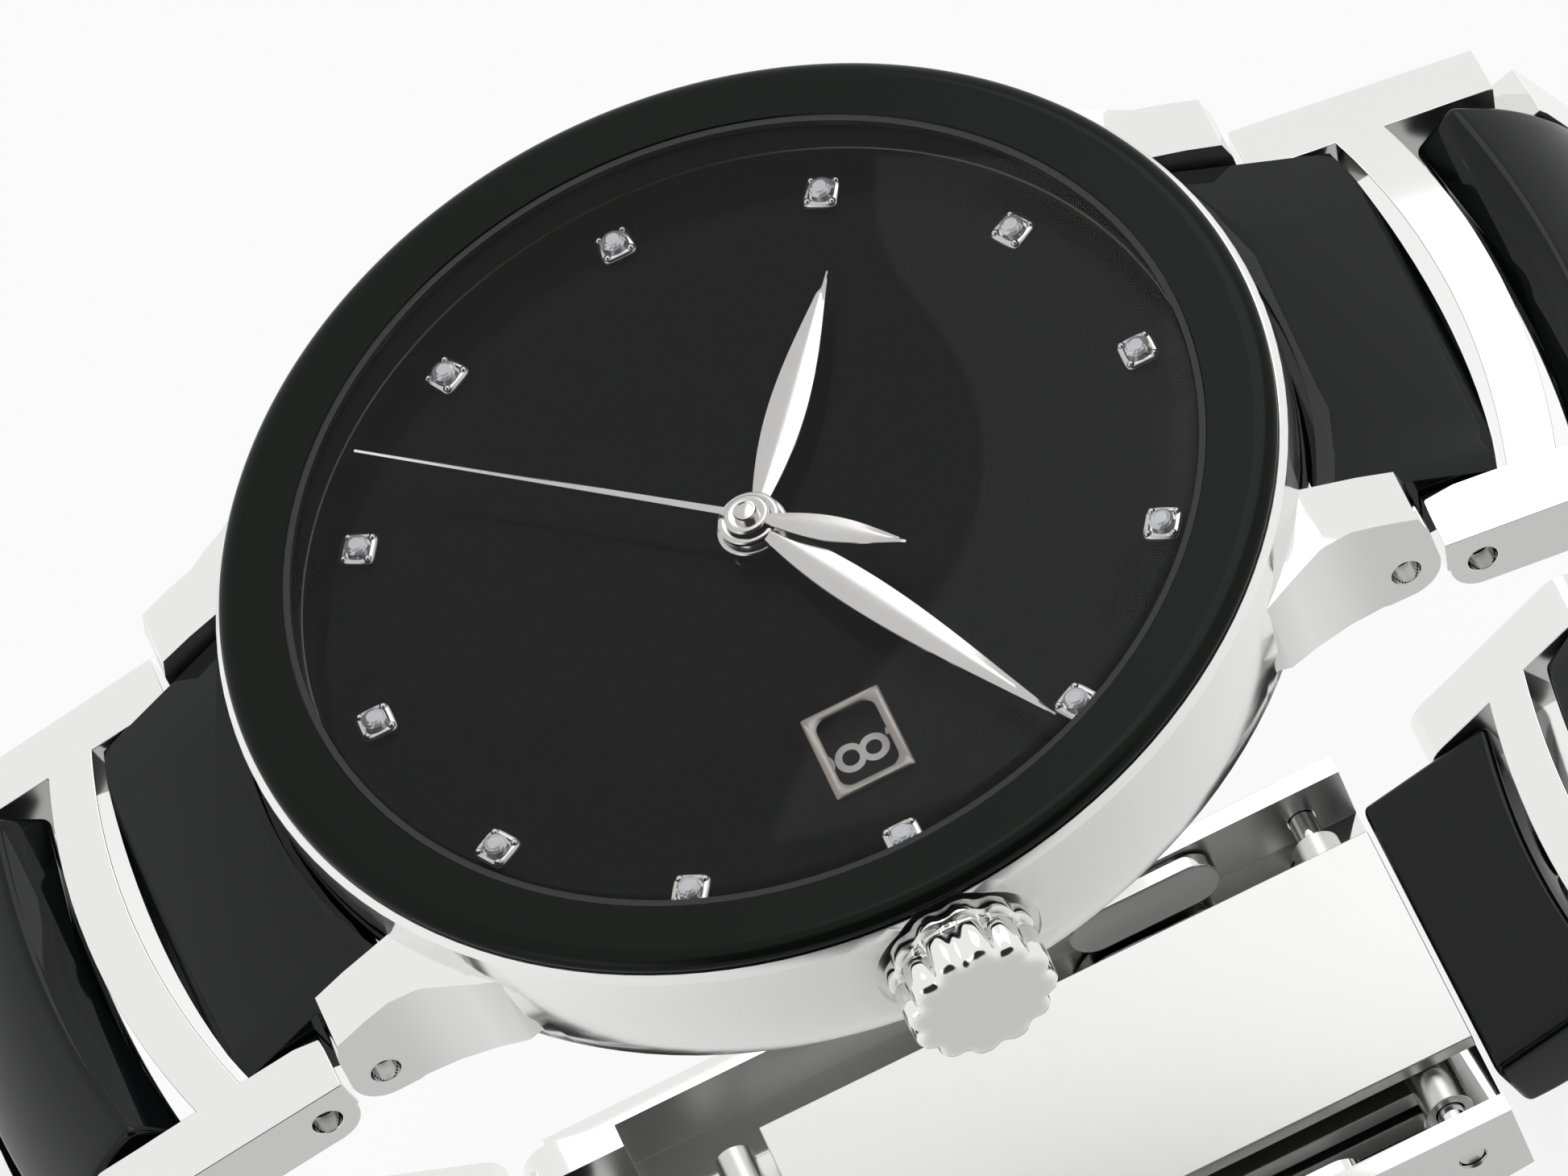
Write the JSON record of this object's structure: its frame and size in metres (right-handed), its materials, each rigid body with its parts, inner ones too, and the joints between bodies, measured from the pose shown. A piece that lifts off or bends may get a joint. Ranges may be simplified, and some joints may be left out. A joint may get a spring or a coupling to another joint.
{
  "type": "wristwatch",
  "caption": "Round automatic wristwatch with stone-set dial, date window, and steel and black ceramic bracelet closed by a folding clasp.",
  "frame": {"origin": "centre of the case back's outer face, on the dial axis", "axes": "+Z out of the dial, +Y to 12 o'clock, +X to 3 o'clock through the crown"},
  "size_m": [0.0405, 0.0698, 0.0437],
  "materials": {
    "polished_steel": "polished stainless steel",
    "brushed_steel": "fine brushed stainless steel",
    "black_ceramic": "polished black ceramic",
    "sapphire": "clear coated sapphire",
    "gasket_black": "matte",
    "flange_bronze": "circular brushed dark bronze",
    "dial_black": "glossy lacquer",
    "date_black": "matte black with pale numerals",
    "marker_rhodium": "polished rhodium plate",
    "diamond": "cut and polished",
    "frame_bronze": "brushed bronze grey",
    "movement_plate": "striped nickel plate",
    "brass_wheels": "gilt",
    "hard_steel": "hardened and polished",
    "rotor_metal": "striped nickel plate"
  },
  "bodies": {
    "case": {"case_body": "polished_steel", "bezel": "black_ceramic", "crystal": "sapphire", "crystal_gasket": "gasket_black", "flange_ring": "flange_bronze", "dial": "dial_black", "marker_settings": "marker_rhodium", "diamonds": "diamond", "date_frame": "frame_bronze", "movement_holder": "movement_plate", "main_plate": "movement_plate", "train_bridge": "movement_plate", "balance_cock": "movement_plate", "rotor_bearing": "brass_wheels", "case_screws": "hard_steel", "case_back": "polished_steel", "back_glass": "sapphire", "back_gasket": "gasket_black", "lug_pins": "brushed_steel"},
    "centre_12_0": {"centre_12_0": "black_ceramic"},
    "link_12_1": {"link_12_1": "polished_steel"},
    "centre_12_1": {"centre_12_1": "black_ceramic"},
    "link_12_2": {"link_12_2": "polished_steel"},
    "centre_12_2": {"centre_12_2": "black_ceramic"},
    "link_12_3": {"link_12_3": "polished_steel"},
    "centre_12_3": {"centre_12_3": "black_ceramic"},
    "link_12_4": {"link_12_4": "polished_steel"},
    "centre_12_4": {"centre_12_4": "black_ceramic"},
    "link_12_5": {"link_12_5": "polished_steel"},
    "centre_12_5": {"centre_12_5": "black_ceramic"},
    "centre_6_0": {"centre_6_0": "black_ceramic"},
    "link_6_1": {"link_6_1": "polished_steel"},
    "centre_6_1": {"centre_6_1": "black_ceramic"},
    "link_6_2": {"link_6_2": "polished_steel"},
    "centre_6_2": {"centre_6_2": "black_ceramic"},
    "link_6_3": {"link_6_3": "polished_steel"},
    "centre_6_3": {"centre_6_3": "black_ceramic"},
    "link_6_4": {"link_6_4": "polished_steel"},
    "centre_6_4": {"centre_6_4": "black_ceramic"},
    "link_6_5": {"link_6_5": "polished_steel"},
    "centre_6_5": {"centre_6_5": "black_ceramic"},
    "clasp_cover": {"clasp_cover": "polished_steel"},
    "blade_outer": {"blade_outer": "brushed_steel"},
    "blade_inner": {"blade_inner": "brushed_steel"},
    "button_left": {"button_left": "polished_steel"},
    "button_right": {"button_right": "polished_steel"},
    "hour_hand": {"hour_hand": "marker_rhodium"},
    "minute_hand": {"minute_hand": "marker_rhodium"},
    "seconds_hand": {"seconds_hand": "marker_rhodium", "fourth_wheel": "brass_wheels"},
    "date_ring": {"date_ring": "date_black"},
    "third_wheel": {"third_wheel": "brass_wheels"},
    "great_wheel": {"great_wheel": "brass_wheels"},
    "barrel": {"barrel": "brass_wheels"},
    "escape_wheel": {"escape_wheel": "hard_steel"},
    "balance_wheel": {"balance_wheel": "brass_wheels"},
    "pallet_fork": {"pallet_fork": "hard_steel"},
    "rotor": {"rotor": "rotor_metal"},
    "winding_stem": {"winding_stem": "hard_steel"},
    "crown": {"crown": "polished_steel"}
  },
  "joints": [
    {"name": "centre_12_0_hinge", "type": "hinge", "parent": "case", "child": "centre_12_0", "pos_m": [0, 0.01935, 0.0024], "axis": [-1, 0, 0], "range_deg": [-4, 0]},
    {"name": "link_12_1_hinge", "type": "hinge", "parent": "centre_12_0", "child": "link_12_1", "pos_m": [0, 0.02195, 0.00102], "axis": [-1, 0, 0], "range_deg": [-8, 0]},
    {"name": "centre_12_1_hinge", "type": "hinge", "parent": "link_12_1", "child": "centre_12_1", "pos_m": [0, 0.02835, -0.00017], "axis": [-1, 0, 0], "range_deg": [-46, 0]},
    {"name": "link_12_2_hinge", "type": "hinge", "parent": "centre_12_1", "child": "link_12_2", "pos_m": [0, 0.03016, -0.00249], "axis": [-1, 0, 0], "range_deg": [-21, 0]},
    {"name": "centre_12_2_hinge", "type": "hinge", "parent": "link_12_2", "child": "centre_12_2", "pos_m": [0, 0.0326, -0.00852], "axis": [-1, 0, 0], "range_deg": [-21, 0]},
    {"name": "link_12_3_hinge", "type": "hinge", "parent": "centre_12_2", "child": "link_12_3", "pos_m": [0, 0.03291, -0.01145], "axis": [-1, 0, 0], "range_deg": [-18, 0]},
    {"name": "centre_12_3_hinge", "type": "hinge", "parent": "link_12_3", "child": "centre_12_3", "pos_m": [0, 0.03211, -0.01791], "axis": [-1, 0, 0], "range_deg": [-18, 0]},
    {"name": "link_12_4_hinge", "type": "hinge", "parent": "centre_12_3", "child": "link_12_4", "pos_m": [0, 0.0311, -0.02068], "axis": [-1, 0, 0], "range_deg": [-19, 0]},
    {"name": "centre_12_4_hinge", "type": "hinge", "parent": "link_12_4", "child": "centre_12_4", "pos_m": [0, 0.02747, -0.02607], "axis": [-1, 0, 0], "range_deg": [-19, 0]},
    {"name": "link_12_5_hinge", "type": "hinge", "parent": "centre_12_4", "child": "link_12_5", "pos_m": [0, 0.02528, -0.02804], "axis": [-1, 0, 0], "range_deg": [-19, 0]},
    {"name": "centre_12_5_hinge", "type": "hinge", "parent": "link_12_5", "child": "centre_12_5", "pos_m": [0, 0.01954, -0.03109], "axis": [-1, 0, 0], "range_deg": [-19, 0]},
    {"name": "centre_6_0_hinge", "type": "hinge", "parent": "case", "child": "centre_6_0", "pos_m": [0, -0.01935, 0.0024], "axis": [1, 0, 0], "range_deg": [-4, 0]},
    {"name": "link_6_1_hinge", "type": "hinge", "parent": "centre_6_0", "child": "link_6_1", "pos_m": [0, -0.02195, 0.00102], "axis": [1, 0, 0], "range_deg": [-8, 0]},
    {"name": "centre_6_1_hinge", "type": "hinge", "parent": "link_6_1", "child": "centre_6_1", "pos_m": [0, -0.02835, -0.00017], "axis": [1, 0, 0], "range_deg": [-46, 0]},
    {"name": "link_6_2_hinge", "type": "hinge", "parent": "centre_6_1", "child": "link_6_2", "pos_m": [0, -0.03016, -0.00249], "axis": [1, 0, 0], "range_deg": [-21, 0]},
    {"name": "centre_6_2_hinge", "type": "hinge", "parent": "link_6_2", "child": "centre_6_2", "pos_m": [0, -0.0326, -0.00852], "axis": [1, 0, 0], "range_deg": [-21, 0]},
    {"name": "link_6_3_hinge", "type": "hinge", "parent": "centre_6_2", "child": "link_6_3", "pos_m": [0, -0.03291, -0.01145], "axis": [1, 0, 0], "range_deg": [-18, 0]},
    {"name": "centre_6_3_hinge", "type": "hinge", "parent": "link_6_3", "child": "centre_6_3", "pos_m": [0, -0.03211, -0.01791], "axis": [1, 0, 0], "range_deg": [-18, 0]},
    {"name": "link_6_4_hinge", "type": "hinge", "parent": "centre_6_3", "child": "link_6_4", "pos_m": [0, -0.0311, -0.02068], "axis": [1, 0, 0], "range_deg": [-19, 0]},
    {"name": "centre_6_4_hinge", "type": "hinge", "parent": "link_6_4", "child": "centre_6_4", "pos_m": [0, -0.02747, -0.02607], "axis": [1, 0, 0], "range_deg": [-19, 0]},
    {"name": "link_6_5_hinge", "type": "hinge", "parent": "centre_6_4", "child": "link_6_5", "pos_m": [0, -0.02528, -0.02804], "axis": [1, 0, 0], "range_deg": [-19, 0]},
    {"name": "centre_6_5_hinge", "type": "hinge", "parent": "link_6_5", "child": "centre_6_5", "pos_m": [0, -0.01954, -0.03109], "axis": [1, 0, 0], "range_deg": [-19, 0]},
    {"name": "clasp_cover_hinge", "type": "hinge", "parent": "centre_6_5", "child": "clasp_cover", "pos_m": [0, -0.01668, -0.03181], "axis": [1, 0, 0], "range_deg": [-19, 0]},
    {"name": "clasp_fold", "type": "hinge", "parent": "clasp_cover", "child": "blade_outer", "pos_m": [0, 0.01328, -0.03191], "axis": [-1, 0, 0], "range_deg": [0, 55]},
    {"name": "blade_fold", "type": "hinge", "parent": "blade_outer", "child": "blade_inner", "pos_m": [0, -0.01068, -0.03141], "axis": [1, 0, 0], "range_deg": [0, 55]},
    {"name": "button_left_push", "type": "slide", "parent": "clasp_cover", "child": "button_left", "axis": [1, 0, 0], "range_m": [0, 0.0006], "stiffness_N_per_m": 900, "springref_m": -0.0004},
    {"name": "button_right_push", "type": "slide", "parent": "clasp_cover", "child": "button_right", "axis": [-1, 0, 0], "range_m": [0, 0.0006], "stiffness_N_per_m": 900, "springref_m": -0.0004},
    {"name": "minute_turn", "type": "hinge", "parent": "case", "child": "minute_hand", "pos_m": [0, 0, 0.00565], "axis": [0, 0, -1], "continuous": true},
    {"name": "hour_turn", "type": "hinge", "parent": "case", "child": "hour_hand", "pos_m": [0, 0, 0.00565], "axis": [0, 0, -1], "continuous": true},
    {"name": "seconds_turn", "type": "hinge", "parent": "case", "child": "seconds_hand", "pos_m": [0, 0, 0.00565], "axis": [0, 0, -1], "continuous": true},
    {"name": "date_turn", "type": "hinge", "parent": "case", "child": "date_ring", "pos_m": [0, 0, 0.00565], "axis": [0, 0, -1], "continuous": true},
    {"name": "third_wheel_turn", "type": "hinge", "parent": "case", "child": "third_wheel", "pos_m": [-0.00225, 0.00334, 0.00565], "axis": [0, 0, -1], "continuous": true},
    {"name": "great_wheel_turn", "type": "hinge", "parent": "case", "child": "great_wheel", "pos_m": [-0.00022, 0.00717, 0.00565], "axis": [0, 0, -1], "continuous": true},
    {"name": "barrel_turn", "type": "hinge", "parent": "case", "child": "barrel", "pos_m": [0.00492, 0.00608, 0.00565], "axis": [0, 0, -1], "continuous": true},
    {"name": "escape_wheel_turn", "type": "hinge", "parent": "case", "child": "escape_wheel", "pos_m": [-0.00279, -0.00196, 0.00565], "axis": [0, 0, -1], "continuous": true},
    {"name": "balance_swing", "type": "hinge", "parent": "case", "child": "balance_wheel", "pos_m": [-0.00299, -0.00734, 0.00565], "axis": [0, 0, -1], "range_deg": [-135, 135]},
    {"name": "pallet_swing", "type": "hinge", "parent": "case", "child": "pallet_fork", "pos_m": [-0.00329, -0.00451, 0.00565], "axis": [0, 0, -1], "range_deg": [-3, 3]},
    {"name": "rotor_turn", "type": "hinge", "parent": "case", "child": "rotor", "pos_m": [0, 0, 0.00125], "axis": [0, 0, 1], "continuous": true},
    {"name": "crown_pull", "type": "slide", "parent": "case", "child": "winding_stem", "axis": [1, 0, 0], "range_m": [0, 0.0012]},
    {"name": "crown_turn", "type": "hinge", "parent": "winding_stem", "child": "crown", "pos_m": [0.02, 0, 0.00525], "axis": [1, 0, 0], "continuous": true}
  ],
  "couplings": [
    {"joint": "hour_turn", "follows": "minute_turn", "ratio": 0.083333},
    {"joint": "third_wheel_turn", "follows": "seconds_turn", "ratio": -0.14815},
    {"joint": "great_wheel_turn", "follows": "seconds_turn", "ratio": 0.021948},
    {"joint": "barrel_turn", "follows": "seconds_turn", "ratio": -0.003658},
    {"joint": "escape_wheel_turn", "follows": "seconds_turn", "ratio": -6.75},
    {"joint": "pallet_swing", "follows": "balance_swing", "ratio": -0.02},
    {"joint": "blade_fold", "follows": "clasp_fold", "ratio": 1}
  ]
}
